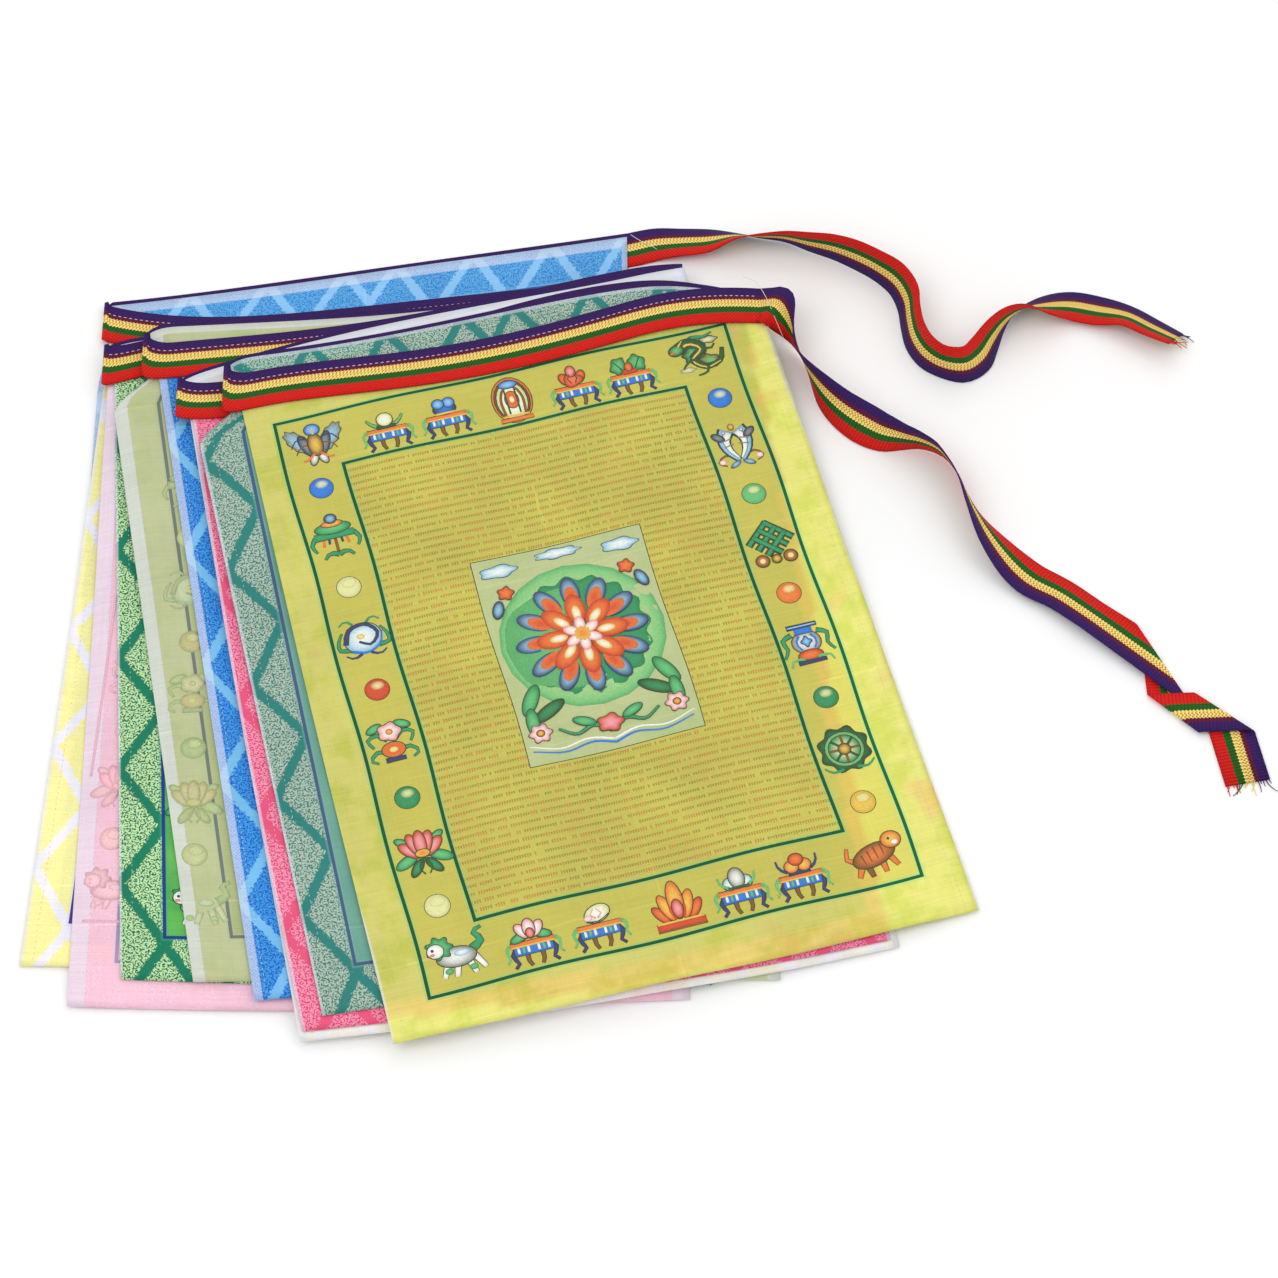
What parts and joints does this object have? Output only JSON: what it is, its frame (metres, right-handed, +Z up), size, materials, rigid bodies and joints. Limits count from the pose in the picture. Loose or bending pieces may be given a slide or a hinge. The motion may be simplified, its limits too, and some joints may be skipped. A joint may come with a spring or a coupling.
{
  "type": "folded string of prayer flags",
  "caption": "Printed cloth prayer flags sewn along one striped tape, folded back and forth into a flat fanned stack, with the tape's loose ends out to one side for tying.",
  "frame": {"origin": "on the surface that the stack lies on, under the middle of the front flag's printed frame", "axes": "+Z up, +X to the right along the tape towards its loose ends, +Y from the flags' lower edges towards the tape"},
  "size_m": [0.5915, 0.4781, 0.0257],
  "materials": {
    "yellow_cloth": "thin printed polyester cloth, slightly sheer",
    "green_cloth": "thin printed polyester cloth, slightly sheer",
    "red_cloth": "thin printed polyester cloth, slightly sheer",
    "white_cloth": "thin printed polyester cloth, slightly sheer",
    "blue_cloth": "thin printed polyester cloth, slightly sheer",
    "striped_tape": "ribbed woven tape in five stripes"
  },
  "bodies": {
    "root": {"flag_01_yellow": "yellow_cloth", "flag_02_green": "green_cloth", "flag_03_red": "red_cloth", "flag_04_white": "white_cloth", "flag_05_blue": "blue_cloth", "flag_06_yellow": "yellow_cloth", "flag_07_green": "green_cloth", "flag_08_red": "red_cloth", "flag_09_white": "white_cloth", "flag_10_blue": "blue_cloth", "tape": "striped_tape"}
  },
  "joints": []
}
